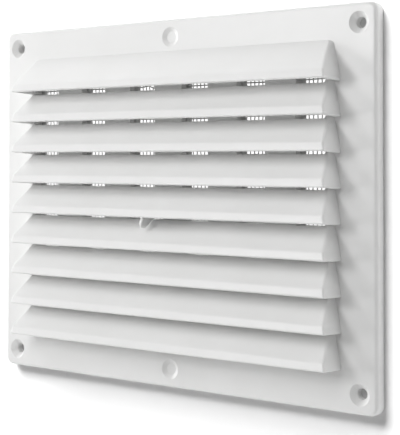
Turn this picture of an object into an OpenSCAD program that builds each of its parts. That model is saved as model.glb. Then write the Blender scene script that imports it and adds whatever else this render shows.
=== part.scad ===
// Closable ventilation grille with hooded louvres, a sliding shutter and an insect screen.
// The wall plane is Y = 0 and the grille faces -Y. X runs to the right as seen from the front, Z up.
// Profiles of the louvres are drawn in [out, height]: out is the distance in front of the plate's
// face, and height is measured from the bottom edge of the louvre's lip.

/* [Face plate] */
// Width of the plate
plate_w = 190; // [134:1:260]
// Height of the plate
plate_h = 150; // [98:1:220]
// Thickness of the plate
plate_t = 2; // [1.6:0.1:2.2]
// Depth of the plate from its face to the wall
flange_d = 5; // [4.8:0.1:9]
// Thickness of the rim that stands on the wall
rim_t = 1.8; // [1.2:0.1:2.6]
// Radius of the plate's corners, seen from the front
corner_r = 3.5; // [3:0.1:6]
// Rounding of the plate's front edge
edge_r = 1.5; // [0.6:0.1:2]

/* [Screw holes] */
// Distance of the hole centres from the plate's edges
hole_inset = 7.4; // [7:0.1:7.8]
// Diameter of the screw holes
hole_d = 4.2; // [3.2:0.1:5]
// Diameter of the countersinks on the face
sink_d = 8.2; // [6.6:0.1:9]
// Diameter of the bosses behind the screw holes
boss_d = 8.4; // [7:0.1:9]
// Floor diameter of the blind recesses at the middle of the top and bottom edges
blind_d = 4.6; // [3:0.1:6]
// Depth of the blind recesses
blind_depth = 1; // [0.4:0.1:1.2]

/* [Louvres] */
// Distance from one louvre to the next
louvre_pitch = 13.25; // [12.8:0.05:14]
// Least margin between the louvres and the plate's top edge
field_margin = 12.5; // [12:0.5:20]
// Height of the louvre field's middle above the plate's middle
field_rise = 1.65; // [0:0.05:1.7]
// Margin between the louvres and the plate's side edges
side_margin = 15; // [14:0.5:20]
// How far a louvre stands out of the face
louvre_out = 12.2; // [11.5:0.1:14]
// Height of a louvre from the bottom of its lip to its top
louvre_h = 14.9; // [14.4:0.1:15.6]
// Depth of the flat top of a louvre
ledge = 1; // [0.8:0.1:1.6]
// Height of the lip along a louvre's bottom edge
lip_h = 3.2; // [2.6:0.1:3.8]
// How far the lip leans out from its top to its bottom edge
lip_lean = 0.7; // [0.3:0.1:1.2]
// Radius of the shoulder between the sloping blade and the lip
shoulder_r = 2.5; // [1.8:0.1:3]
// Rounding between the blade and its flat top
top_r = 1; // [0.4:0.1:1.4]
// How much each end of a louvre leans in from its bottom to its top
end_lean = 2.2; // [1:0.1:3]
// Radius of the louvre's top corners, seen from the front
end_r = 2.4; // [1:0.1:3]
// Rounding between the lip and the cheeks that close a louvre's ends
cheek_r = 1.8; // [1:0.1:2.2]
// Wall thickness of the blade and the lip
louvre_t = 1.6; // [1.2:0.1:1.8]
// Wall thickness of the cheeks
cheek_t = 2; // [1.2:0.1:2.2]

/* [Windows behind the louvres] */
// Width of a window
window_w = 13; // [11:0.1:13.6]
// Distance from one window to the next
window_pitch = 27.2; // [26.6:0.1:27.4]
// Drop of a window's sill below the lip of its louvre
sill_drop = 1.2; // [0.8:0.1:1.4]
// Thickness of the web between two rows of windows
web_t = 1.45; // [1.2:0.05:1.8]
// How far the ribs between the windows stand out of the face
rib_out = 1.4; // [0.6:0.1:1.8]

/* [Shutter] */
// Thickness of the shutter
shutter_t = 1.1; // [0.8:0.1:1.3]
// How far the shutter slides from open to closed
travel = 11.5; // [10:0.1:12]
// Overlap of a shutter bar on each side of its window when closed
bar_lap = 1; // [0.5:0.1:1.3]
// Height of the shutter's rails above and below the windows
rail_h = 2; // [1.6:0.1:2.2]
// Running clearance round the shutter
slide_gap = 0.3; // [0.2:0.05:0.4]
// Thickness of the guides that the shutter runs between
guide_t = 1.2; // [0.8:0.1:1.4]

/* [Finger tab] */
// Thickness of the tab
tab_t = 1.4; // [1:0.1:1.6]
// Distance of the tab's middle from the edge of the bar that carries it
tab_offset = 1.3; // [1:0.1:1.4]
// How far the stem stands out of the face
stem_out = 5; // [4.8:0.1:6]
// Height of the stem
stem_h = 3.2; // [2.4:0.1:4]
// Clearance between the stem and the sill below it
stem_gap = 0.5; // [0.4:0.05:0.8]
// How far the middle of the tab's round nose stands out of the face
tab_out = 9.5; // [8.5:0.1:9.8]
// Drop of the middle of the nose below the lip of its louvre
tab_drop = 2.35; // [2.3:0.05:2.6]
// Radius of the nose
tab_r = 2; // [1.6:0.05:2]

/* [Insect screen] */
// Thickness of the screen's border
screen_t = 1; // [0.8:0.1:1.2]
// Thickness of the net
net_t = 0.5; // [0.3:0.05:0.6]
// Overlap of the border beyond the louvres at each side
screen_lap = 2; // [1:0.1:2.4]
// Width of the strip outside the guides that the pins hold
pin_land = 4; // [3.8:0.1:4.2]
// Diameter of the pins
pin_d = 2.4; // [2:0.1:2.6]
// Diameter of the pins' flattened heads
pin_head_d = 3.2; // [3:0.1:3.4]
// Distance from one pin to the next
pin_pitch = 40; // [30:1:50]
// Clearance between the screen and each pin
pin_gap = 0.15; // [0.1:0.05:0.2]
// Number of openings across the width of the net
net_across = 12; // [6:1:13]
// Number of openings up the height of the net
net_up = 9; // [5:1:9]
// Width of the net's strands
strand_w = 1.1; // [0.6:0.1:2]

/* [Hidden] */
$fn = 64;

face_y = -flange_d;
back_y = face_y + plate_t;
// Every cut runs this far past the surface that it opens
past = 1;

hole_x = plate_w / 2 - hole_inset;
hole_z = plate_h / 2 - hole_inset;

louvre_w = plate_w - 2 * side_margin;
louvre_n = 1 + floor((plate_h - 2 * (field_margin + field_rise) - louvre_h) / louvre_pitch);
field_h = (louvre_n - 1) * louvre_pitch + louvre_h;
// Height of each louvre's lip, from the top row down
row_z = [for (k = [louvre_n - 1:-1:0]) field_rise - field_h / 2 + k * louvre_pitch];

rib_w = window_pitch - window_w;
window_n = floor((louvre_w - 2 * (cheek_t + end_lean) + rib_w) / window_pitch);
window_h = louvre_pitch - web_t;
field_w = (window_n - 1) * window_pitch + window_w;
window_x = [for (i = [0:window_n - 1]) i * window_pitch - field_w / 2];
field_z0 = row_z[louvre_n - 1] - sill_drop;
field_z1 = row_z[0] - sill_drop + window_h;

// The shutter is drawn open, moved to the left by its travel
bar_w = window_w + 2 * bar_lap;
bar_x = [for (x = window_x) x - bar_lap - travel];
shutter_x1 = bar_x[window_n - 1] + bar_w;
shutter_y0 = back_y + slide_gap;
shutter_y1 = shutter_y0 + shutter_t;
shutter_z0 = field_z0 - slide_gap - rail_h;
shutter_z1 = field_z1 + slide_gap + rail_h;

// Room that the shutter runs in, and the outside of the guides round it
room = [bar_x[0] - slide_gap, shutter_x1 + travel + slide_gap, shutter_z0 - slide_gap,
    shutter_z1 + slide_gap];
guide = room + guide_t * [-1, 1, -1, 1];

// The tab comes out below the middle louvre, in front of the middle rib
tab_z = row_z[floor(louvre_n / 2)];
tab_x = bar_x[floor(window_n / 2)] - tab_offset - tab_t / 2;
tab_slot_x = window_x[floor(window_n / 2)] - rib_w;
stem_z0 = stem_gap - sill_drop;

screen_x = louvre_w / 2 + screen_lap;
screen_y0 = shutter_y1 + slide_gap;
screen_y1 = screen_y0 + screen_t;
screen_z0 = guide[2] - pin_land;
screen_z1 = guide[3] + pin_land;
pin_n = 1 + floor((2 * screen_x - 3 * pin_land) / pin_pitch);
pin_x = [for (i = [0:pin_n - 1]) (i - (pin_n - 1) / 2) * pin_pitch];
pin_z = [screen_z0 + pin_land / 2, screen_z1 - pin_land / 2];
head_t = screen_t / 2;

function unit(v) = v / norm(v);
function to_last(p, i) = unit(p[(i + len(p) - 1) % len(p)] - p[i]);
function to_next(p, i) = unit(p[(i + 1) % len(p)] - p[i]);
function half_angle(p, i) = acos(to_last(p, i) * to_next(p, i)) / 2;
// The point at distance d from both edges that meet at corner i of the outline p
function inside(p, i, d) = p[i] + unit(to_last(p, i) + to_next(p, i)) * d / sin(half_angle(p, i));
// The outline p with every edge moved in by d
function inset(p, d) = [for (i = [0:len(p) - 1]) inside(p, i, d)];

function rect(x0, x1, z0, z1) = [[x0, z0], [x1, z0], [x1, z1], [x0, z1]];

// Convex outline p, with its corner i rounded to the radius r[i]
module rounded(p, r) {
    polygon([for (i = [0:len(p) - 1]) let (d = r[i] / tan(half_angle(p, i)))
        each (d > 0 ? [p[i] + d * to_last(p, i), p[i] + d * to_next(p, i)] : [p[i]])]);
    for (i = [0:len(p) - 1]) if (r[i] > 0) translate(inside(p, i, r[i])) circle(r[i]);
}

// Extrudes a drawing in X and Z from y0 back to y1
module along_y(y0, y1) {
    translate([0, y1, 0]) rotate([90, 0, 0]) linear_extrude(y1 - y0) children();
}

// Extrudes a profile in [out, height] over the width from x0 to x1
module along_x(x0, x1) {
    translate([x0, 0, 0]) rotate([90, 0, 90]) linear_extrude(x1 - x0)
        translate([face_y, 0]) mirror([1, 0]) children();
}

// Cylinder or cone along Y, its first end at y0
module round_y(x, z, y0, y1, d0, d1) {
    translate([x, y0, z]) rotate([-90, 0, 0]) cylinder(h = y1 - y0, d1 = d0, d2 = d1);
}

module box(x0, x1, y0, y1, z0, z1) {
    translate([x0, y0, z0]) cube([x1 - x0, y1 - y0, z1 - z0]);
}

// Outer shape of the plate and its rim, solid: two crossing slabs with round front edges, and
// a quarter turn of the same edge at each corner
module plate_solid() {
    x = plate_w / 2;
    z = plate_h / 2;
    translate([corner_r - x, 0, 0]) rotate([90, 0, 90]) linear_extrude(plate_w - 2 * corner_r)
        rounded(rect(face_y, 0, -z, z), edge_r * [1, 0, 0, 1]);
    translate([0, 0, corner_r - z]) linear_extrude(plate_h - 2 * corner_r)
        rounded(rect(-x, x, face_y, 0), edge_r * [1, 1, 0, 0]);
    for (s = [0, 1], t = [0, 1]) mirror([s, 0, 0]) mirror([0, 0, t])
        translate([x - corner_r, 0, z - corner_r]) rotate([90, 0, 0]) rotate_extrude(angle = 90)
            rounded(rect(0, corner_r, 0, flange_d), edge_r * [0, 0, 1, 0]);
}

// Hollow behind the plate, inside the rim
module rim_hollow() {
    x = plate_w / 2 - rim_t;
    z = plate_h / 2 - rim_t;
    along_y(back_y, past) rounded(rect(-x, x, -z, z), (corner_r - rim_t / 2) * [1, 1, 1, 1]);
}

// Side profile of a louvre down to the height z: lip, sloping blade and flat top
function side_profile(z) = [[-plate_t, z], [louvre_out - lip_lean * z / lip_h, z],
    [louvre_out - lip_lean, lip_h], [ledge, louvre_h], [-plate_t, louvre_h]];

// Front profile of a louvre down to the height z, narrower at its top
function front_profile(z) = let (w0 = louvre_w / 2 - end_lean * z / louvre_h,
    w1 = louvre_w / 2 - end_lean) [[-w0, z], [w0, z], [w1, louvre_h], [-w1, louvre_h]];

// Louvre from the height z up, made of its side, front and top profiles crossing each other.
// The blade and lip are moved in by t and the cheeks by c, which gives the hollow below it.
module louvre_solid(z, t, c) {
    w = louvre_w / 2 - c;
    intersection() {
        along_x(-w, w)
            rounded(inset(side_profile(z - t), t), [0, 0, shoulder_r - t, max(top_r - t, 0), 0]);
        along_y(face_y - louvre_out - past, back_y)
            rounded(inset(front_profile(z - c), c), max(end_r - c, 0) * [0, 0, 1, 1]);
        translate([0, 0, z - past]) linear_extrude(louvre_h - z + 2 * past)
            rounded(rect(-w, w, face_y - louvre_out + t, past), max(cheek_r - t, 0) * [1, 1, 0, 0]);
    }
}

// Hollow under a louvre, in front of the ribs, open at the bottom and flat at the web above
module louvre_hollow() {
    w = louvre_w / 2;
    difference() {
        louvre_solid(-sill_drop, louvre_t, cheek_t);
        box(-w, w, face_y - rib_out, past, -sill_drop - past, louvre_h);
        box(-w, w, face_y - louvre_out, past, window_h - sill_drop, louvre_h);
    }
}

// Row of windows behind one louvre
module window_row() {
    for (x = window_x) box(x, x + window_w, face_y - rib_out - past, back_y + past, -sill_drop,
        window_h - sill_drop);
}

// Slot across the rib that the tab's stem moves along
module tab_slot() {
    box(tab_slot_x - past, tab_slot_x + rib_w + past, face_y - rib_out - past, back_y + past,
        tab_z - sill_drop, tab_z + stem_z0 + stem_h + stem_gap);
}

module screw_hole(x, z) {
    round_y(x, z, face_y - past, past, hole_d, hole_d);
    round_y(x, z, face_y, face_y + (sink_d - hole_d) / 2, sink_d, hole_d);
}

// Ring round the shutter's room, which guides it, stops it and carries the insect screen
module guide_ring() {
    difference() {
        box(guide[0], guide[1], back_y - plate_t / 2, screen_y0, guide[2], guide[3]);
        box(room[0], room[1], face_y, past, room[2], room[3]);
    }
}

// Pins with flattened heads that hold the insect screen
module screen_pins() {
    for (x = pin_x, z = pin_z) {
        round_y(x, z, back_y - plate_t / 2, screen_y1, pin_d, pin_d);
        round_y(x, z, screen_y1 - head_t + pin_gap, screen_y1, pin_head_d, pin_head_d);
    }
}

// One-piece moulding: plate, rim, louvres, ribs, screw bosses, guides and pins
module face_grille() {
    color("white") difference() {
        union() {
            difference() {
                plate_solid();
                rim_hollow();
            }
            for (z = row_z) translate([0, 0, z]) louvre_solid(0, 0, 0);
            for (x = [-hole_x, hole_x], z = [-hole_z, hole_z])
                round_y(x, z, back_y - plate_t / 2, 0, boss_d, boss_d);
            guide_ring();
            screen_pins();
        }
        for (z = row_z) translate([0, 0, z]) {
            louvre_hollow();
            window_row();
        }
        tab_slot();
        for (x = [-hole_x, hole_x], z = [-hole_z, hole_z]) screw_hole(x, z);
        for (z = [-hole_z, hole_z]) round_y(0, z, face_y, face_y + blind_depth, sink_d, blind_d);
    }
}

// Finger tab: a stem out of the shutter's plane and an arm that drops to a round nose
module finger_tab() {
    along_x(tab_x, tab_x + tab_t) {
        translate([face_y - shutter_y1, stem_z0]) square([shutter_y1 - face_y + stem_out, stem_h]);
        hull() {
            translate([stem_out - tab_t, stem_z0]) square([tab_t, stem_h]);
            translate([tab_out, -tab_drop]) circle(tab_r);
        }
    }
    box(tab_x, tab_x + tab_offset + tab_t, shutter_y0, shutter_y1, stem_z0, stem_z0 + stem_h);
}

// Sliding shutter in one piece: upright bars between two rails, and the finger tab
module shutter() {
    color("white") {
        for (x = bar_x) box(x, x + bar_w, shutter_y0, shutter_y1, shutter_z0, shutter_z1);
        for (z = [shutter_z0, shutter_z1 - rail_h])
            box(bar_x[0], shutter_x1, shutter_y0, shutter_y1, z, z + rail_h);
        translate([0, 0, tab_z]) finger_tab();
    }
}

// Insect screen in one piece: a border with holes for the pins, and a net in its thickness
module insect_screen() {
    cell_w = (field_w + strand_w) / net_across;
    cell_h = (field_z1 - field_z0 + strand_w) / net_up;
    color("gainsboro") difference() {
        along_y(screen_y0, screen_y1)
            rounded(rect(-screen_x, screen_x, screen_z0, screen_z1), pin_land / 2 * [1, 1, 1, 1]);
        box(-field_w / 2, field_w / 2, screen_y0 - past, screen_y1 - net_t, field_z0, field_z1);
        for (i = [0:net_across - 1], j = [0:net_up - 1])
            translate([i * cell_w - field_w / 2, screen_y0 - past, field_z0 + j * cell_h])
                cube([cell_w - strand_w, screen_t + 2 * past, cell_h - strand_w]);
        for (x = pin_x, z = pin_z) {
            round_y(x, z, screen_y0 - past, screen_y1 + past, pin_d + 2 * pin_gap,
                pin_d + 2 * pin_gap);
            round_y(x, z, screen_y1 - head_t, screen_y1 + past, pin_head_d + 2 * pin_gap,
                pin_head_d + 2 * pin_gap);
        }
    }
}

face_grille();
shutter();
insect_screen();
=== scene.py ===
"""Looks of the closable wall vent: white moulded face with nine hooded louvres, sliding shutter, insect net.

Lengths in this file are millimetres until a shape is put into its mesh, which is in metres. The wall is
the plane y = 0, the room is on the -y side, x runs to the right and z up. "Out" is the distance in front
of the plate's face, and a louvre's own height is measured from the bottom edge of its lip.
"""

import math

import bmesh
import bpy
import numpy as np
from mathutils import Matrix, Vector
from mathutils.geometry import delaunay_2d_cdt


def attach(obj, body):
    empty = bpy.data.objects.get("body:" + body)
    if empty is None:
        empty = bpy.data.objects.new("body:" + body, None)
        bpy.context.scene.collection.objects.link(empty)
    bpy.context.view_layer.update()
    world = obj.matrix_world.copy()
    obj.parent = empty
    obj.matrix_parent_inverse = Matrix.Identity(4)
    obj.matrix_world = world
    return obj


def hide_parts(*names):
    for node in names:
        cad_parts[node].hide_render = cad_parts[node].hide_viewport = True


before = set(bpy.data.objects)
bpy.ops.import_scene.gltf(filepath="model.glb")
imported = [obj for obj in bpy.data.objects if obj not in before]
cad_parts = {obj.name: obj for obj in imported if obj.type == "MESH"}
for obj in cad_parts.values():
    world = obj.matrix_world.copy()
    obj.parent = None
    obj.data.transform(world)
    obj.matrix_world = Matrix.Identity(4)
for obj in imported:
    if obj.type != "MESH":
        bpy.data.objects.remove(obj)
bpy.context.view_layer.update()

MM = 0.001
# A surface that meets another is set into it by this much, so that the two never share a plane
SUNK = 0.01
SMALLEST_R = 0.02
# Length of a path's first and last straight, which only give its end arcs their direction
LEAD = 1.0

# Face plate
HALF_W, HALF_H = 95.0, 75.0
PLATE_BOX = (-HALF_W, HALF_W, -HALF_H, HALF_H)
FACE, BACK, WALL = -5.0, -3.0, 0.0
RIM = 1.8
CORNER = 3.5
HOLE_X, HOLE_Z = 87.6, 67.6
HOLE_R, SINK_R, BOSS_R = 2.1, 4.1, 4.2
RECESS_R, RECESS_DEPTH = 2.35, 1.0
FRONT_ROUND, REAR_ROUND, INSIDE_ROUND = 1.5, 0.25, 0.35
SINK_ROUND, BOSS_ROUND = 0.16, 0.3
RECESS_ROUND, RECESS_FOOT_ROUND = 0.22, 0.45

# Field of windows behind the louvres
PITCH, TOP_LIP = 13.25, 47.2
LIPS = TOP_LIP - PITCH * np.arange(9)
FIELD = (-74.5, 74.5, -60.0, 57.8)
WINDOW_W, WINDOW_PITCH = 13.0, 27.2
WINDOW_X = FIELD[0] + WINDOW_PITCH * np.arange(6)
FIELD_ROUND, FIELD_CORNER = 0.2, 0.3
RIB_FRONT, RIB_TOP = -6.4, 59.0
RIB_FOOT, RIB_OVERLAP = 0.5, 0.4
TAB_GAP_Z = (-7.6, -2.8)

# Louvre section, in (out, own height): the blade falls at 45 degrees from its top to the shoulder
BLADE_TOP, SILL, WEB = 14.9, 12.05, 10.6
LIP_TOP, LIP_FOOT = (11.5, 3.2), (12.2, 0.0)
SHOULDER_R, LIP_R = 2.2, 0.6
SILL_ROUND = 0.3
INNER_FOOT, INNER_TURN, INNER_TOP = (10.57, 0.0), (9.9, 2.55), (1.85, WEB)
INNER_ROUNDS = (0.3, 1.4, 0.6)
# Out of the section's ends, inside the plate, and the points in its outer and in its inner path
IN_PLATE, PROFILE_ROWS = -1.97, 36

# Louvre ends, as half widths: the cheek's root on the plate and its front edge
CHEEK_HALF, CHEEK_WALL = 80.0, 2.0
ROOT_START, ROOT_LEAN = 80.2, 0.22
LIP_LEAN, BLADE_LEAN = 0.17, 0.39
END_ROUND, FOOT_ROUND = 1.6, 0.6
ROOT_DROP = 0.7
# Corner between front and cheek: up to 1 mm from the edge, from 2 mm, inside the hood, at a cheek's top
LIP_CORNER, BLADE_CORNER, INNER_CORNER, TOP_CORNER = 0.7, 1.0, 0.6, 0.5
# Rounding of the hollow's ends, at the bottom edge and under the web
INNER_FOOT_ROUND, WEB_ROUND = 0.3, 0.5
# Out of a cheek's rear edge, its least distance behind the front, and the least that slopes count with
CHEEK_BACK, SLIVER, LEAST_OUT = -0.4, 0.03, 0.6
# A cheek's top starts this far below the sill and ends this far below the hood above
TOP_OVERLAP, TOP_GAP, TOP_LEVELS = 0.3, 0.05, 6

# Shutter
SHUTTER_Y = (-2.7, -1.6)
SHUTTER_Z, SLOT_Z = (-62.3, 60.1), (-60.3, 58.1)
BAR_W, BAR_TO_WINDOW = 14.2, 12.5
BAR_X = WINDOW_X - BAR_TO_WINDOW
SHEET_ROUND, SHEET_CORNER, SLOT_CORNER = 0.22, 0.8, 0.5

# Ring that the shutter slides in
GUIDE_BOX = (-88.5, 77.0, -63.8, 61.6)
GUIDE_W, GUIDE_Y, GUIDE_IN_PLATE = 1.2, -1.3, 0.3
GUIDE_ROUND, GUIDE_CORNER = 0.2, 0.9

# Finger tab, in (out, height above the lip of the fifth louvre): a level stem, and an arm down to the nose
TAB_X, TAB_ROUND, LUG_END = (-6.9, -5.5), 0.42, -4.7
NOSE, NOSE_R = (9.5, -2.35), 2.0
STEM_H, STEM_START = (-0.7, 2.5), -2.5
ARM_UNDER, ARM_OVER = (3.2, -0.75), (5.0, 2.5)
ARM_UNDER_R, ARM_OVER_R, LUG_ROUND = 1.6, 1.2, 0.2
NOSE_POINTS, SIDE_POINTS, EDGE_POINTS = 26, 64, 6

# Insect screen
SCREEN_Y = (-1.3, -0.3)
SCREEN_BOX = (-82.0, 82.0, -67.8, 65.6)
BORDER_ROUND, BORDER_CORNER, BORDER_INNER_CORNER = 0.2, 2.0, 0.6
PIN_X, PIN_Z = (-60, -20, 20, 60), (-65.8, 63.6)
PIN_R, PIN_HEAD_R, PIN_STEPS = 1.2, 1.6, 32
PIN_START, PIN_HEAD_Y, PIN_END = -3.4, -0.66, -0.3
HEAD_EDGE, HEAD_ROUND = 0.1, 0.14
PIN_HOLE_R, HEAD_HOLE_R, HEAD_HOLE_Y = 1.35, 1.75, -0.8

# Net: first thread, count and middle depth of the threads, their half width and half thickness
NET_PITCH, NET_START, NET_COUNT = 1.9, (-75.05, -60.55), (80, 64)
NET_Y, WEAVE, THREAD_HALF = -0.56, 0.12, (0.27, 0.11)
# The most that a thread goes on past its first and last crossings, and its step, in pitches
THREAD_REACH, THREAD_STEP = 0.3, 0.5
# Waves of the net: size, lengths along x and z, start; and the spot where threads have slipped
WAVES_X = ((0.22, 17, 23, 1.0), (0.10, 31, 6.1, 0.0))
WAVES_Z = ((0.20, 21, -19, 0.0), (0.10, 7.3, 27, 2.0))
SPOT_X, SPOT_Z, SPOT_HALF_W, SPOT_HALF_H = -13.0, 50.0, 4.5, 3.2
SLIP_X, SLIP_X_LENGTH = 1.2, 1.1
SLIP_Z, SLIP_Z_LENGTH, SLIP_Z_START = 0.9, 1.3, 1.0

# Camera, in metres and degrees
CAMERA_PLACE = (0.3005, -0.3832, 0.0179)
CAMERA_TILT, CAMERA_TURN = 91, 37.02
SENSOR_W, LENS, SHIFT_UP = 36, 98.07, -0.1828
NEAREST, FARTHEST = 0.01, 20


def photograph_camera():
    """Camera fitted to the plate's edges, holes and lips in the photograph: 37 degrees to the right of the
    face, tilted up by one degree."""
    data = bpy.data.cameras.new("photograph_camera")
    data.sensor_width = SENSOR_W
    data.lens = LENS
    data.shift_y = SHIFT_UP
    data.clip_start, data.clip_end = NEAREST, FARTHEST
    camera = bpy.data.objects.new("photograph_camera", data)
    camera.location = CAMERA_PLACE
    camera.rotation_euler = (math.radians(CAMERA_TILT), 0, math.radians(CAMERA_TURN))
    bpy.context.scene.collection.objects.link(camera)
    bpy.context.scene.camera = camera


photograph_camera()


# Outlines and profiles

SAME_POINT = 1e-6
SHARPEST_COSINE = 0.4


def unit(v):
    """The vector divided by its length."""
    return v / np.linalg.norm(v)


def filleted(corners, radii, steps=6):
    """Path through the corners, each turned by an arc: the arc of radius r touches both straights at r /
    tan(half angle) from the corner, and its points are the two touching radii blended by sines of the angle
    between them."""
    corners = [np.array(c, float) for c in corners]
    path = []
    for i, (p, r) in enumerate(zip(corners, radii)):
        if r == 0:
            path.append(p[None])
            continue
        to_last, to_next = unit(corners[i - 1] - p), unit(corners[i + 1] - p)
        half = math.acos(np.clip(to_last @ to_next, -1, 1)) / 2
        centre = p + unit(to_last + to_next) * r / math.sin(half)
        first = p + to_last * r / math.tan(half) - centre
        last = p + to_next * r / math.tan(half) - centre
        turn = math.pi - 2 * half
        t = np.linspace(0, 1, steps + 1)[:, None]
        blend = np.sin((1 - t) * turn) * first + np.sin(t * turn) * last
        path.append(centre + blend / math.sin(turn))
    return np.concatenate(path)


def evenly(path, count):
    """The path's own points, so that arcs keep theirs, and more between them until there are count: each
    new point halves the stretch that is then the longest."""
    path = path[np.r_[True, np.linalg.norm(np.diff(path, axis=0), axis=1) > SAME_POINT]]
    while len(path) < count:
        i = int(np.linalg.norm(np.diff(path, axis=0), axis=1).argmax())
        path = np.insert(path, i + 1, (path[i] + path[i + 1]) / 2, axis=0)
    return path


def rounded_rectangle(x0, x1, z0, z1, r, steps=8):
    """Outline of a rectangle, anticlockwise from its lower right corner, each corner a quarter circle of
    radius r round a centre r inside both edges."""
    r = max(r, SMALLEST_R)
    angle = np.radians(np.linspace(0, 90, steps + 1) + np.array([-90, 0, 90, 180])[:, None])
    centre = np.array([[x1 - r, z0 + r], [x1 - r, z1 - r], [x0 + r, z1 - r], [x0 + r, z0 + r]])
    arcs = centre[:, None] + r * np.stack([np.cos(angle), np.sin(angle)], -1)
    return arcs.reshape(-1, 2)


def inset_rectangle(box, d, r):
    """Rounded rectangle of a box (x0, x1, z0, z1) moved in by d on every side, its corner radius less
    by d."""
    return rounded_rectangle(box[0] + d, box[1] - d, box[2] + d, box[3] - d, r - d)


def circle(x, z, r, steps=48):
    """Points at equal angles on a circle in the plate's plane."""
    a = np.linspace(0, 2 * math.pi, steps, endpoint=False)
    return np.stack([x + r * np.cos(a), z + r * np.sin(a)], -1)


def offset(outline, d):
    """Outline moved in by d along the mean of the normals of its two edges at each point, lengthened so
    that the edges keep their distance."""
    before, after = outline - np.roll(outline, 1, 0), np.roll(outline, -1, 0) - outline
    before /= np.linalg.norm(before, axis=1)[:, None]
    after /= np.linalg.norm(after, axis=1)[:, None]
    normal = np.stack([-(before + after)[:, 1], (before + after)[:, 0]], -1)
    normal /= np.linalg.norm(normal, axis=1)[:, None]
    left = np.stack([-after[:, 1], after[:, 0]], -1)
    cosine = np.maximum((normal * left).sum(1), SHARPEST_COSINE)
    return outline + normal * (d / cosine)[:, None]


def tangent_from(point, centre, r, side):
    """Where a line from the point touches the circle, on its left (1) or right (-1) side."""
    line = np.array(centre, float) - point
    far = math.hypot(*line)
    reach, swing = math.sqrt(far ** 2 - r ** 2), side * math.asin(r / far)
    c, s = math.cos(swing), math.sin(swing)
    return point + np.array([c * line[0] - s * line[1], s * line[0] + c * line[1]]) * reach / far


def upright_at(y):
    """Turns points of the plate's plane into space at the depth y."""
    return lambda flat: np.stack([flat[:, 0], np.full(len(flat), y), flat[:, 1]], -1)


def level_at(z):
    """Turns (x, y) points into space at the height z."""
    return lambda flat: np.stack([flat[:, 0], flat[:, 1], np.full(len(flat), z)], -1)


def carried_round(profile, box, r):
    """Profile of (inset, y) pairs carried round a rounded rectangle: at each pair the outline is smaller by
    the inset on every side, and its corner radius is less by the same."""
    return np.stack([upright_at(y)(inset_rectangle(box, d, r)) for d, y in profile])


def turned_profile(profile, x, z, steps=48):
    """Profile of (radius, y) pairs turned round an axis along y: x + r cos a, y, z + r sin a."""
    profile = np.asarray(profile, float)
    a = np.linspace(0, 2 * math.pi, steps, endpoint=False)
    r, y = profile[:, 0, None], profile[:, 1, None]
    return np.stack([x + r * np.cos(a), y + 0 * a, z + r * np.sin(a)], -1)


# Surfaces of one moulding

# The triangulation keeps what lies inside the edges; its distance is in millimetres, the others in metres
INSIDE_EDGES = 1
JOIN_WITHIN, COLLAPSE_WITHIN, TRIANGULATE_WITHIN = 2e-7, 1e-7, 1e-5
CREASE_DEGREES, FLAT_FACE_WEIGHT = 38, 100


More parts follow.
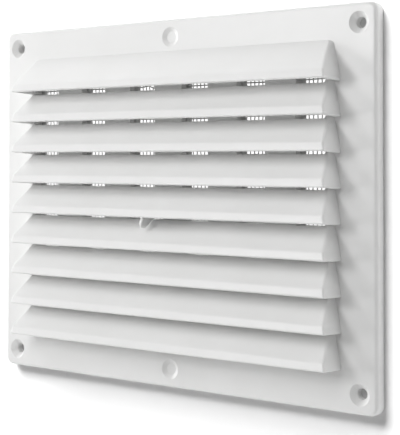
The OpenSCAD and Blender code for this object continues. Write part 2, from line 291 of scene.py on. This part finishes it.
class Shell:
    """Surfaces of one moulding, gathered as point arrays and faces, then joined along their shared edges."""

    def __init__(self):
        self.points, self.faces, self.count = [], [], 0

    def add(self, points, faces):
        """Keeps a set of points and the faces between them."""
        points = np.asarray(points, float).reshape(-1, 3)
        self.points.append(points)
        self.faces.extend((np.asarray(faces) + self.count).tolist())
        self.count += len(points)

    def grid(self, points, closed_rows=False, closed_columns=False):
        """Quads between the neighbours of a rows by columns array of points. A closed direction joins its
        last line to its first. A leading axis holds copies of the grid."""
        points = np.asarray(points, float)
        if points.ndim == 3:
            points = points[None]
        copies, rows, columns = points.shape[:3]
        r = np.arange(rows if closed_rows else rows - 1)[None, :, None]
        c = np.arange(columns if closed_columns else columns - 1)[None, None, :]
        start = np.arange(copies)[:, None, None] * rows * columns
        r1, c1 = (r + 1) % rows, (c + 1) % columns
        quads = np.stack(np.broadcast_arrays(start + r * columns + c, start + r * columns + c1,
                                             start + r1 * columns + c1, start + r1 * columns + c), -1)
        self.add(points, quads.reshape(-1, 4))

    def flat(self, loops, place):
        """Flat face between outlines: a triangulation that keeps every outline's edges, less the triangles
        whose middle lies inside an even number of outlines. place turns the flat points into space."""
        loops = [np.asarray(loop, float) for loop in loops]
        flat = np.concatenate(loops)
        starts = np.cumsum([0] + [len(loop) for loop in loops])
        edges = np.concatenate([
            np.stack([s + np.arange(len(loop)), s + (np.arange(len(loop)) + 1) % len(loop)], -1)
            for s, loop in zip(starts, loops)])
        out = delaunay_2d_cdt(flat.tolist(), edges.tolist(), [], INSIDE_EDGES, TRIANGULATE_WITHIN, False)
        points, faces = np.array([tuple(v) for v in out[0]]), np.array([f for f in out[2]])
        middle = points[faces].mean(1)
        a, b = flat[edges[:, 0]], flat[edges[:, 1]]
        above = (a[:, 1] > middle[:, None, 1]) != (b[:, 1] > middle[:, None, 1])
        rise = np.where(b[:, 1] == a[:, 1], 1, b[:, 1] - a[:, 1])
        cross_at = a[:, 0] + (middle[:, None, 1] - a[:, 1]) * (b[:, 0] - a[:, 0]) / rise
        inside = (above & (middle[:, None, 0] < cross_at)).sum(1) % 2 == 1
        self.add(place(points), faces[inside])

    def made(self, name, body, node, material):
        """The joined surfaces as an object in metres that rides on a body and stands for a CAD node."""
        mesh = bpy.data.meshes.new(name)
        points = np.concatenate(self.points) * MM
        mesh.from_pydata(points.tolist(), [], self.faces)
        work = bmesh.new()
        work.from_mesh(mesh)
        bmesh.ops.remove_doubles(work, verts=work.verts, dist=JOIN_WITHIN)
        bmesh.ops.dissolve_degenerate(work, edges=work.edges, dist=COLLAPSE_WITHIN)
        bmesh.ops.recalc_face_normals(work, faces=work.faces)
        work.to_mesh(mesh)
        work.free()
        mesh.shade_smooth()
        mesh.set_sharp_from_angle(angle=math.radians(CREASE_DEGREES))
        piece = bpy.data.objects.new(name, mesh)
        bpy.context.scene.collection.objects.link(piece)
        weighted = piece.modifiers.new("flat faces stay flat", "WEIGHTED_NORMAL")
        weighted.keep_sharp = True
        weighted.weight = FLAT_FACE_WEIGHT
        mesh.materials.append(material)
        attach(piece, body)
        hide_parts(node)
        return piece


# Plastics

PLASTIC_IOR, PLASTIC_SPECULAR = 1.49, 0.5
# Patterns as scale, detail and roughness, and bumps as strength and distance in metres
CLOUDS, CLOUD_ENDS = (38, 4, 0.55), (0.3, 0.72)
GLOSS_SPOTS = (160, 5, 0.6)
WAVES, WAVE_BUMP = (55, 2, 0.5), (0.10, 0.0006)
PEEL, PEEL_BUMP = (1900, 3, 0.6), (0.12, 0.00006)


def node_tree(name):
    """A new material with its nodes and links."""
    material = bpy.data.materials.new(name)
    material.use_nodes = True
    return material, material.node_tree.nodes, material.node_tree.links


def moulded_plastic(name, shade, tint, roughness):
    """White moulded plastic: a faint cloudiness of tone, a slightly uneven gloss, a fine orange-peel skin
    over long shallow waves from the cooling, all on Object coordinates."""
    material, nodes, links = node_tree(name)
    shader = nodes["Principled BSDF"]
    shader.inputs["IOR"].default_value = PLASTIC_IOR
    shader.inputs["Specular IOR Level"].default_value = PLASTIC_SPECULAR
    place = nodes.new("ShaderNodeTexCoord")

    def noise(scale, detail, rough):
        n = nodes.new("ShaderNodeTexNoise")
        n.inputs["Scale"].default_value = scale
        n.inputs["Detail"].default_value = detail
        n.inputs["Roughness"].default_value = rough
        links.new(place.outputs["Object"], n.inputs["Vector"])
        return n.outputs["Fac"]

    def bump(height, strength, distance):
        n = nodes.new("ShaderNodeBump")
        n.inputs["Strength"].default_value = strength
        n.inputs["Distance"].default_value = distance
        links.new(height, n.inputs["Height"])
        return n

    tone = nodes.new("ShaderNodeValToRGB")
    low, high = tone.color_ramp.elements
    low.position, high.position = CLOUD_ENDS
    low.color, high.color = (*tint, 1), (*shade, 1)
    links.new(noise(*CLOUDS), tone.inputs["Fac"])
    links.new(tone.outputs["Color"], shader.inputs["Base Color"])
    gloss = nodes.new("ShaderNodeMapRange")
    gloss.inputs["To Min"].default_value, gloss.inputs["To Max"].default_value = roughness
    links.new(noise(*GLOSS_SPOTS), gloss.inputs["Value"])
    links.new(gloss.outputs["Result"], shader.inputs["Roughness"])
    waves = bump(noise(*WAVES), *WAVE_BUMP)
    peel = bump(noise(*PEEL), *PEEL_BUMP)
    links.new(waves.outputs["Normal"], peel.inputs["Normal"])
    links.new(peel.outputs["Normal"], shader.inputs["Normal"])
    return material


FACE_PLASTIC = moulded_plastic(
    "white_face_plastic", (0.885, 0.885, 0.88), (0.855, 0.856, 0.848), (0.30, 0.44))
SHUTTER_PLASTIC = moulded_plastic(
    "white_shutter_plastic", (0.875, 0.875, 0.87), (0.845, 0.846, 0.838), (0.32, 0.46))
NET_PLASTIC = moulded_plastic(
    "net_thread_plastic", (0.80, 0.80, 0.79), (0.68, 0.68, 0.67), (0.5, 0.7))


# Face plate

def face_plate():
    """Plate with its rim: the edge profile carried round the plate, flat faces in front and behind, and the
    screw holes, their bosses and the two blind recesses as turned profiles between those faces."""
    shell = Shell()
    edge = filleted([(LEAD, FACE), (0, FACE), (0, WALL), (RIM, WALL), (RIM, BACK), (RIM + LEAD, BACK)],
                    [0, FRONT_ROUND, REAR_ROUND, REAR_ROUND, INSIDE_ROUND, 0], steps=9)[1:-1]
    opening = filleted([(-LEAD, FACE), (0, FACE), (0, BACK), (-LEAD, BACK)],
                       [0, FIELD_ROUND, FIELD_ROUND, 0], steps=4)[1:-1]
    screw = filleted([(SINK_R + LEAD, FACE), (SINK_R, FACE), (HOLE_R, BACK), (HOLE_R, WALL),
                      (BOSS_R, WALL), (BOSS_R, BACK), (BOSS_R + LEAD, BACK)],
                     [0, SINK_ROUND, REAR_ROUND, REAR_ROUND, BOSS_ROUND, INSIDE_ROUND, 0], steps=5)[1:-1]
    floor = FACE + RECESS_DEPTH
    recess = filleted([(SINK_R + LEAD, FACE), (SINK_R, FACE), (RECESS_R, floor), (0, floor)],
                      [0, RECESS_ROUND, RECESS_FOOT_ROUND, 0], steps=5)[1:]
    shell.grid(carried_round(edge, PLATE_BOX, CORNER), closed_columns=True)
    shell.grid(carried_round(opening, FIELD, FIELD_CORNER), closed_columns=True)
    front, rear = ([inset_rectangle(PLATE_BOX, edge[row, 0], CORNER),
                    inset_rectangle(FIELD, opening[row, 0], FIELD_CORNER)] for row in (0, -1))
    for z in (-HOLE_Z, HOLE_Z):
        for x in (-HOLE_X, HOLE_X):
            shell.grid(turned_profile(screw, x, z), closed_columns=True)
            front.append(circle(x, z, screw[0, 0]))
            rear.append(circle(x, z, screw[-1, 0]))
        shell.grid(turned_profile(recess, 0, z), closed_columns=True)
        front.append(circle(0, z, recess[0, 0]))
    shell.flat(front, upright_at(FACE))
    shell.flat(rear, upright_at(BACK))
    return shell.made("face_plate", "grille", "face_grille", FACE_PLASTIC)


# Hooded louvres

def cheek_lines(h):
    """Half widths of a hood at its own height h, at the cheek's root and at its front edge: two
    straight lines that lean towards the middle, the front one more steeply above the shoulder. The root
    line ends in a quarter circle at the top of the blade, and both are drawn in by a quarter circle at
    the bottom edge."""
    top = np.clip(h - (BLADE_TOP - END_ROUND), 0, END_ROUND)
    foot = np.clip(FOOT_ROUND - h, 0, FOOT_ROUND)
    foot_in = FOOT_ROUND - np.sqrt(FOOT_ROUND ** 2 - foot ** 2)
    top_in = END_ROUND - np.sqrt(END_ROUND ** 2 - top ** 2)
    root = np.minimum(CHEEK_HALF, ROOT_START - ROOT_LEAN * h) - top_in
    in_lip, above_lip = np.minimum(h, LIP_TOP[1]), np.maximum(h - LIP_TOP[1], 0)
    front = CHEEK_HALF - LIP_LEAN * in_lip - BLADE_LEAN * above_lip
    return root - foot_in, np.minimum(front, root) - foot_in


def level_corner(front, out, slope, r, turn=7):
    """Rounded corner of a level cut: the arc of radius r that touches the front, at the distance out, and
    the cheek, which runs back from half width front and widens by slope. The arc's angle goes from the
    cheek's own tilt to a right angle."""
    tilt = np.arctan(slope)[:, None]
    a = tilt + (math.pi / 2 - tilt) * np.linspace(0, 1, turn)
    front, out, slope, r = (v[:, None] for v in (front, out, slope, r))
    return front + r * slope - r / np.cos(tilt) + r * np.cos(a), out - r + r * np.sin(a)


def level_section(root, front, out, r, back, deep=4, across=14):
    """One level cut through a louvre's skin, for each height in the arrays: from the wall side of the left
    cheek forward along a straight line between its root and its front edge, round the corner, across the
    front, and back along the right cheek."""
    root, front, out, r, back = np.broadcast_arrays(root, front, out, r, back)
    slope = (root - front) / np.maximum(out, LEAST_OUT)
    corner_x, corner_out = level_corner(front, out, slope, r)
    depth = np.linspace(0, 1, deep, endpoint=False)
    cheek_out = back[:, None] + (corner_out[:, :1] - back[:, None]) * depth
    cheek_x = front[:, None] + (out[:, None] - np.maximum(cheek_out, 0)) * slope[:, None]
    front_x = corner_x[:, -1:] * np.linspace(1, -1, across + 1)[1:-1]
    front_out = np.broadcast_to(out[:, None], front_x.shape)
    x = np.concatenate([cheek_x, corner_x, front_x, -corner_x[:, ::-1], -cheek_x[:, ::-1]], 1)
    o = np.concatenate([cheek_out, corner_out, front_out, corner_out[:, ::-1], cheek_out[:, ::-1]], 1)
    return -x, o


def louvre_levels(lines, out, largest):
    """Level sections for the half widths of root and front, with corners half as round as the skin is deep,
    up to the largest radius."""
    radius = np.clip((out - CHEEK_BACK) / 2, SMALLEST_R, largest)
    return level_section(*lines, out, radius, np.minimum(CHEEK_BACK, out - SLIVER))


def louvre_grid(lip_z, top_row):
    """Whole skin of one louvre as a closed grid: rows follow the side profile down the blade, round the
    shoulder to the lip, under the lip, up the inside and back along the underside of the web; columns
    follow the level section. The bottom edge drops in a straight line from the lip to the cheek's root."""
    blade_top, top_round = (BLADE_TOP, 0) if top_row else (SILL, SILL_ROUND)
    path = [(IN_PLATE, blade_top), (sum(LIP_TOP) - blade_top, blade_top), LIP_TOP, LIP_FOOT,
            (LIP_FOOT[0] - LEAD, 0)]
    outer = evenly(filleted(path, [0, top_round, SHOULDER_R, LIP_R, 0], steps=9)[:-1], PROFILE_ROWS)
    path = [LIP_FOOT, INNER_FOOT, INNER_TURN, INNER_TOP, (IN_PLATE, WEB)]
    inner = evenly(filleted(path, [0, *INNER_ROUNDS, 0], steps=9)[1:], PROFILE_ROWS)
    out, h = outer.T
    largest = LIP_CORNER + (BLADE_CORNER - LIP_CORNER) * np.clip(h - 1, 0, 1)
    outer_x, outer_out = louvre_levels(cheek_lines(h), out, largest)
    out_in, h_in = inner.T
    under = np.clip(WEB_ROUND - (WEB - h_in), 0, WEB_ROUND)
    foot = np.clip(INNER_FOOT_ROUND - h_in, 0, INNER_FOOT_ROUND)
    grown = 2 * (INNER_FOOT_ROUND - np.sqrt(INNER_FOOT_ROUND ** 2 - foot ** 2))
    grown -= WEB_ROUND - np.sqrt(WEB_ROUND ** 2 - under ** 2)
    inside = [line - CHEEK_WALL + grown for line in cheek_lines(h_in)]
    inner_x, inner_out = louvre_levels(inside, out_in, INNER_CORNER)
    x, out = np.concatenate([outer_x, inner_x]), np.concatenate([outer_out, inner_out])
    h = np.concatenate([h, h_in])[:, None]
    drop = ROOT_DROP * np.clip(1 - out / LIP_FOOT[0], 0, 1) * np.clip(1 - h / LIP_TOP[1], 0, 1)
    return np.stack([x, FACE - out, lip_z + h - drop], -1)


def cheek_top(shell, lip_z, side):
    """Top of a cheek, which goes on past the sill up to the hood above: level cuts between the cheek's
    outer line and the window's edge, the front at 45 degrees in line with the blade."""
    h = np.linspace(SILL - TOP_OVERLAP, PITCH - TOP_GAP, TOP_LEVELS)
    root, front = cheek_lines(h)
    out = sum(LIP_TOP) - h
    slope = (root - front) / out
    corner_x, corner_out = level_corner(front, out, slope, np.full_like(h, TOP_CORNER))
    inner = np.full_like(h, FIELD[1] + 2 * SUNK)
    in_plate = np.full_like(h, CHEEK_BACK)
    x = np.column_stack([root, corner_x, inner, inner])
    out = np.column_stack([in_plate, corner_out, out, in_plate])
    z = np.broadcast_to(lip_z + h[:, None], x.shape)
    points = np.stack([side * x, FACE - out, z], -1)
    shell.grid(points, closed_columns=True)
    for row in (points[0], points[-1]):
        shell.flat([row[:, :2]], level_at(row[0, 2]))


def louvres():
    """Nine hoods. Each end of a hood's grid is closed by a ladder of quads between its outer and inner
    edges."""
    shell = Shell()
    for k, z in enumerate(LIPS):
        points = louvre_grid(z, k == 0)
        shell.grid(points, closed_rows=True)
        for column in (points[:, 0], points[:, -1]):
            half = len(column) // 2
            shell.grid(np.stack([column[:half], column[::-1][:half]]))
        if k:
            cheek_top(shell, z, -1)
            cheek_top(shell, z, 1)
    return shell.made("hooded_louvres", "grille", "face_grille", FACE_PLASTIC)


# Ribs, guides and pins

def bar(shell, x0, x1, y0, y1, z0, z1, edge=0.25):
    """Straight bar up the face: a rounded rectangle in x and y carried from z0 to z1, with both ends closed
    by the same outline shrunk onto its middle line."""
    outline = rounded_rectangle(x0, x1, y0, y1, edge, 4)
    inner = rounded_rectangle(x0 + edge, x1 - edge, y0 + edge, y1 - edge, SMALLEST_R, 4)
    rows = ((inner, z0), (outline, z0), (outline, z1), (inner, z1))
    shell.grid(np.stack([level_at(z)(loop) for loop, z in rows]), closed_columns=True)
    for z in (z0, z1):
        shell.flat([inner], level_at(z))


def window_ribs():
    """Ribs between the windows, standing out behind the louvres; the middle one is cut by the finger tab's
    gap."""
    shell = Shell()
    for x0 in WINDOW_X[:-1] + WINDOW_W:
        x1 = x0 + WINDOW_PITCH - WINDOW_W
        middle = abs(x0 + x1) < 1
        ends = (LIPS[-1], *TAB_GAP_Z, RIB_TOP) if middle else (LIPS[-1], RIB_TOP)
        for z0, z1 in zip(ends[::2], ends[1::2]):
            bar(shell, x0, x1, RIB_FRONT, BACK - SUNK, z0, z1)
        bar(shell, x0, x1, FACE + SUNK, BACK - SUNK, FIELD[2] - RIB_FOOT, LIPS[-1] + RIB_OVERLAP)
    return shell.made("window_ribs", "grille", "face_grille", FACE_PLASTIC)


def shutter_guide():
    """Ring behind the plate that the shutter slides in: a small square profile carried round a rectangle."""
    shell = Shell()
    start = BACK - GUIDE_IN_PLATE
    profile = filleted([(0, start), (0, GUIDE_Y), (GUIDE_W, GUIDE_Y), (GUIDE_W, start)],
                       [0, GUIDE_ROUND, GUIDE_ROUND, 0], steps=4)
    shell.grid(carried_round(profile, GUIDE_BOX, GUIDE_CORNER), closed_rows=True, closed_columns=True)
    return shell.made("shutter_guide", "grille", "face_grille", FACE_PLASTIC)


def screen_pins():
    """Eight pins, each a turned profile with a flattened round head."""
    shell = Shell()
    pin = filleted([(0, PIN_START), (PIN_R, PIN_START), (PIN_R, PIN_HEAD_Y), (PIN_HEAD_R, PIN_HEAD_Y),
                    (PIN_HEAD_R, PIN_END), (0, PIN_END)], [0, 0, 0, HEAD_EDGE, HEAD_ROUND, 0], steps=4)
    for x in PIN_X:
        for z in PIN_Z:
            shell.grid(turned_profile(pin, x, z, PIN_STEPS), closed_columns=True)
    return shell.made("screen_pins", "grille", "face_grille", FACE_PLASTIC)


# Shutter

def shutter():
    """Slotted sheet, flat in front and behind, with rounded edges round its outline and slots."""
    shell = Shell()
    y0, y1 = SHUTTER_Y
    edge = filleted([(LEAD, y0), (0, y0), (0, y1), (LEAD, y1)],
                    [0, SHEET_ROUND, SHEET_ROUND, 0], steps=4)[1:-1]
    outer = (BAR_X[0], BAR_X[-1] + BAR_W, *SHUTTER_Z)
    slots = [(x + BAR_W, x + WINDOW_PITCH, *SLOT_Z) for x in BAR_X[:-1]]
    shell.grid(carried_round(edge, outer, SHEET_CORNER), closed_columns=True)
    for slot in slots:
        shell.grid(carried_round(edge * (-1, 1), slot, SLOT_CORNER), closed_columns=True)
    for (d, _), y in ((edge[0], y0), (edge[-1], y1)):
        holes = [inset_rectangle(slot, -d, SLOT_CORNER) for slot in slots]
        shell.flat([inset_rectangle(outer, d, SHEET_CORNER)] + holes, upright_at(y))
    return shell.made("shutter_bars", "shutter", "shutter", SHUTTER_PLASTIC)


def finger_tab():
    """Tab that moves the shutter: a straight stem and an arm that falls to a round nose, drawn in (out, own
    height) and carried across its thickness with rounded edges; a lug joins the stem to its bar."""
    shell = Shell()
    nose, under, over = np.array(NOSE), np.array(ARM_UNDER), np.array(ARM_OVER)
    low, high = tangent_from(under, nose, NOSE_R, -1), tangent_from(over, nose, NOSE_R, 1)
    a0, a1 = math.atan2(*(low - nose)[::-1]), math.atan2(*(high - nose)[::-1])
    a = np.linspace(a0, a1 + (2 * math.pi if a1 < a0 else 0), NOSE_POINTS)
    around = nose + NOSE_R * np.stack([np.cos(a), np.sin(a)], -1)
    foot = filleted([(STEM_START, STEM_H[0]), under, low], [0, ARM_UNDER_R, 0], steps=6)[:-1]
    crown = filleted([high, over, (STEM_START, STEM_H[1])], [0, ARM_OVER_R, 0], steps=6)[1:]
    side = evenly(np.concatenate([foot, around, crown]), SIDE_POINTS)
    t = np.linspace(0, math.pi / 2, EDGE_POINTS)
    steps = [(TAB_ROUND * (1 - math.sin(q)), TAB_X[0] + TAB_ROUND * (1 - math.cos(q))) for q in t]
    steps += [(d, TAB_X[0] + TAB_X[1] - x) for d, x in steps[::-1]]

    def place(flat, x):
        return np.stack([np.full(len(flat), x), FACE - flat[:, 0], LIPS[4] + flat[:, 1]], -1)

    shell.grid(np.stack([place(offset(side, d), x) for d, x in steps]), closed_columns=True)
    for d, x in (steps[0], steps[-1]):
        shell.flat([offset(side, d)], lambda flat, x=x: place(flat, x))
    bar(shell, TAB_X[0], LUG_END, *SHUTTER_Y, *(LIPS[4] + h for h in STEM_H), LUG_ROUND)
    return shell.made("finger_tab", "shutter", "shutter", SHUTTER_PLASTIC)


# Insect screen

def screen_border():
    """Border of the screen: a flat frame with rounded edges, and stepped holes for the pins and their
    heads."""
    shell = Shell()
    y0, y1 = SCREEN_Y
    edge = filleted([(LEAD, y0), (0, y0), (0, y1), (LEAD, y1)],
                    [0, BORDER_ROUND, BORDER_ROUND, 0], steps=4)[1:-1]
    hole = np.array([(PIN_HOLE_R, y0), (PIN_HOLE_R, HEAD_HOLE_Y), (HEAD_HOLE_R, HEAD_HOLE_Y),
                     (HEAD_HOLE_R, y1)])
    shell.grid(carried_round(edge, SCREEN_BOX, BORDER_CORNER), closed_columns=True)
    shell.grid(carried_round(edge * (-1, 1), FIELD, BORDER_INNER_CORNER), closed_columns=True)
    centres = [(x, z) for x in PIN_X for z in PIN_Z]
    for x, z in centres:
        shell.grid(turned_profile(hole, x, z, PIN_STEPS), closed_columns=True)
    for row, y in ((0, y0), (-1, y1)):
        d = edge[row, 0]
        loops = [inset_rectangle(SCREEN_BOX, d, BORDER_CORNER),
                 inset_rectangle(FIELD, -d, BORDER_INNER_CORNER)]
        shell.flat(loops + [circle(x, z, hole[row, 0], PIN_STEPS) for x, z in centres], upright_at(y))
    return shell.made("screen_border", "grille", "insect_screen", NET_PLASTIC)


def drift(x, z):
    """How far the net is pulled out of true at a place: the sum of slow waves, each a size times the sine
    of x and z over their lengths, and one spot where threads have slipped behind the third window of the
    top row, a quick sine times a bell that falls with the square of the distance from the spot's middle."""

    def summed(waves):
        return sum(size * np.sin(x / x_length + z / z_length + start)
                   for size, x_length, z_length, start in waves)

    spot = np.exp(-((x - SPOT_X) / SPOT_HALF_W) ** 2 - ((z - SPOT_Z) / SPOT_HALF_H) ** 2)
    dx = summed(WAVES_X) + SLIP_X * spot * np.sin(z / SLIP_X_LENGTH)
    dz = summed(WAVES_Z) + SLIP_Z * spot * np.sin(x / SLIP_Z_LENGTH + SLIP_Z_START)
    return dx, dz


def net_threads(name, up):
    """One direction of threads of a plain weave. Thread i runs along s; at the crossing with thread j
    it lies before or behind it as i + j is even or odd, so its depth is the middle + a cos(pi (s /
    pitch + i)). Its section is a flat lozenge of four points, and each end is drawn into a point inside
    the border."""
    x_at, z_at = (start + NET_PITCH * np.arange(count) for start, count in zip(NET_START, NET_COUNT))
    places, along = (x_at, z_at) if up else (z_at, x_at)
    s = np.arange(-THREAD_REACH, len(along) - 1 + THREAD_REACH, THREAD_STEP)
    i = np.arange(len(places))[:, None]
    first = along[0] + NET_PITCH * s[None, :] + 0 * i
    across = places[:, None] + 0 * first
    depth = NET_Y + (WEAVE if up else -WEAVE) * np.cos(math.pi * (s[None, :] + i))
    x, z = (across, first) if up else (first, across)
    dx, dz = drift(x, z)
    angle = np.arange(4) * math.pi / 2
    end = np.ones(s.shape)
    end[[0, -1]] = 0
    wide, thick = (half * turn * end[None, :, None]
                   for half, turn in zip(THREAD_HALF, (np.cos(angle), np.sin(angle))))
    x, y, z = (x + dx)[..., None], depth[..., None] + thick, (z + dz)[..., None]
    x, z = (x + wide, z + 0 * wide) if up else (x + 0 * wide, z + wide)
    shell = Shell()
    shell.grid(np.stack([x, y, z], -1), closed_columns=True)
    return shell.made(name, "grille", "insect_screen", NET_PLASTIC)


face_plate()
louvres()
window_ribs()
shutter_guide()
screen_pins()
shutter()
finger_tab()
screen_border()
net_threads("net_warp", True)
net_threads("net_weft", False)


# Room and light

# Strength of the wall's and floor's own glow, of the room's, of the space behind and of its bright patch
WALL_GLOW, ROOM_GLOW, BEHIND_GLOW, PATCH_GLOW = 0.02, 0.06, 0.12, 1.0
# Direction of the patch, and the angles from it where it begins and where it is whole
PATCH_TOWARDS, PATCH_START, PATCH_WHOLE = (-0.60, 0.80, 0.02), 26, 20
HORIZON = 0.05
MATT_ROUGHNESS, MATT_SPECULAR = 0.9, 0.1
# The grey disc with a faint glow behind each screw hole is painted shade and light for the shaded wall seen
# through the hole
WALL_SHADE, FLOOR_SHADE, PAINTED_HOLE_SHADE, PAINTED_HOLE_GLOW = 0.96, 0.9, 0.45, 0.1
WALL_BOX, WALL_OPENING, OPENING_CORNER = (-900, 900, -600, 900), (-93.2, 93.2, -73.2, 73.2), 1.8
FLOOR_BOX, FLOOR_Z = (-900, 900, -1500, 900), -600
WALL_Y, HOLE_BACK_Y, HOLE_BACK_R, HOLE_BACK_STEPS = 0.02, 0.3, 2.7, 24
STAGE_CORNER = 1

# What a lamp's list of receivers says of the wall, the only thing in it
WALL_ALONE, WALL_DARK = "INCLUDE", "EXCLUDE"
# Lamps that light all but the wall, and the one for the wall: name, place and size in metres, power
LAMPS = (
    ("key_from_left", (-0.27, -0.62, 0.17), 0.2, 1.25),
    ("far_side_light", (-3.8, -1.3, 0.35), 1.6, 88.0),
    ("upper_left_light", (-0.60, -0.40, 0.60), 0.4, 0.9),
    ("high_light", (0.1, -1.3, 1.1), 0.8, 6.0),
    ("fill_from_right", (0.95, -0.25, 0.05), 0.4, 0.8),
    ("near_front_light", (-0.10, -0.50, 0.30), 0.25, 0.25),
    ("light_behind", (-0.9, 0.8, 0.5), 0.5, 4.5),
)
WALL_LAMP = ("wall_light", (-1.15, -1.6, 2.5), 2.3, 270.0)


def plain_white(name, shade, glow):
    """Matt paint for the backdrop, with an even glow of its own; grey and glowing behind the screw holes, it
    is painted shade and light.
    """
    material, nodes, _ = node_tree(name)
    shader = nodes["Principled BSDF"]
    shader.inputs["Base Color"].default_value = (shade, shade, shade, 1)
    shader.inputs["Roughness"].default_value = MATT_ROUGHNESS
    shader.inputs["Specular IOR Level"].default_value = MATT_SPECULAR
    shader.inputs["Emission Color"].default_value = (1, 1, 1, 1)
    shader.inputs["Emission Strength"].default_value = glow
    return material


def backdrop(name, loops, place, shade, glow):
    """Flat stage face between outlines."""
    shell = Shell()
    shell.flat(loops, place)
    mesh = bpy.data.meshes.new(name)
    mesh.from_pydata((np.concatenate(shell.points) * MM).tolist(), [], shell.faces)
    mesh.materials.append(plain_white("matt_" + name, shade, glow))
    thing = bpy.data.objects.new(name, mesh)
    bpy.context.scene.collection.objects.link(thing)
    return thing


def soft_box(name, place, size, power, on_wall):
    """Square soft light at a place, its face turned to the origin. It lights the wall alone or all but the
    wall."""
    data = bpy.data.lights.new(name, "AREA")
    data.shape = "SQUARE"
    data.size = size
    data.energy = power
    lamp = bpy.data.objects.new(name, data)
    lamp.location = place
    lamp.rotation_euler = (-Vector(place)).to_track_quat("-Z", "Y").to_euler()
    bpy.context.scene.collection.objects.link(lamp)
    lit = bpy.data.collections.new(name + "_lights")
    lit.objects.link(wall)
    lit.collection_objects[0].light_linking.link_state = on_wall
    lamp.light_linking.receiver_collection = lit


def white_room():
    """Even soft light from the room in front, a dim space behind the wall, and one bright patch in it that
    shows through the net: its strength rises with the cosine of the angle to the patch's middle."""
    world = bpy.data.worlds.new("white_room")
    world.use_nodes = True
    nodes, links = world.node_tree.nodes, world.node_tree.links
    place = nodes.new("ShaderNodeTexCoord")

    def ramp(value, start, end, low, high):
        n = nodes.new("ShaderNodeMapRange")
        for key, number in (("From Min", start), ("From Max", end), ("To Min", low), ("To Max", high)):
            n.inputs[key].default_value = number
        links.new(value, n.inputs["Value"])
        return n.outputs["Result"]

    split = nodes.new("ShaderNodeSeparateXYZ")
    links.new(place.outputs["Generated"], split.inputs["Vector"])
    room = ramp(split.outputs["Y"], -HORIZON, HORIZON, ROOM_GLOW, BEHIND_GLOW)
    towards = nodes.new("ShaderNodeVectorMath")
    towards.operation = "DOT_PRODUCT"
    towards.inputs[1].default_value = PATCH_TOWARDS
    links.new(place.outputs["Generated"], towards.inputs[0])
    start, whole_at = (math.cos(math.radians(angle)) for angle in (PATCH_START, PATCH_WHOLE))
    patch = ramp(towards.outputs["Value"], start, whole_at, 0, PATCH_GLOW)
    whole = nodes.new("ShaderNodeMath")
    whole.operation = "ADD"
    links.new(room, whole.inputs[0])
    links.new(patch, whole.inputs[1])
    links.new(whole.outputs["Value"], nodes["Background"].inputs["Strength"])
    nodes["Background"].inputs["Color"].default_value = (1, 1, 1, 1)
    return world


wall_edges = [rounded_rectangle(*WALL_BOX, STAGE_CORNER), rounded_rectangle(*WALL_OPENING, OPENING_CORNER)]
wall = backdrop("white_wall", wall_edges, upright_at(WALL_Y), WALL_SHADE, WALL_GLOW)
floor_edges = [rounded_rectangle(*FLOOR_BOX, STAGE_CORNER)]
backdrop("white_floor", floor_edges, level_at(FLOOR_Z), FLOOR_SHADE, WALL_GLOW)
# Grey glowing discs behind the screw holes: painted shade and light for the inside of the holes
holes = [circle(x, z, HOLE_BACK_R, HOLE_BACK_STEPS) for x in (-HOLE_X, HOLE_X) for z in (-HOLE_Z, HOLE_Z)]
backdrop("painted_shade_in_screw_holes", holes, upright_at(HOLE_BACK_Y), PAINTED_HOLE_SHADE, PAINTED_HOLE_GLOW)

for lamp in LAMPS:
    soft_box(*lamp, WALL_DARK)
soft_box(*WALL_LAMP, WALL_ALONE)
bpy.context.scene.world = white_room()
bpy.context.scene.view_settings.view_transform = "Standard"
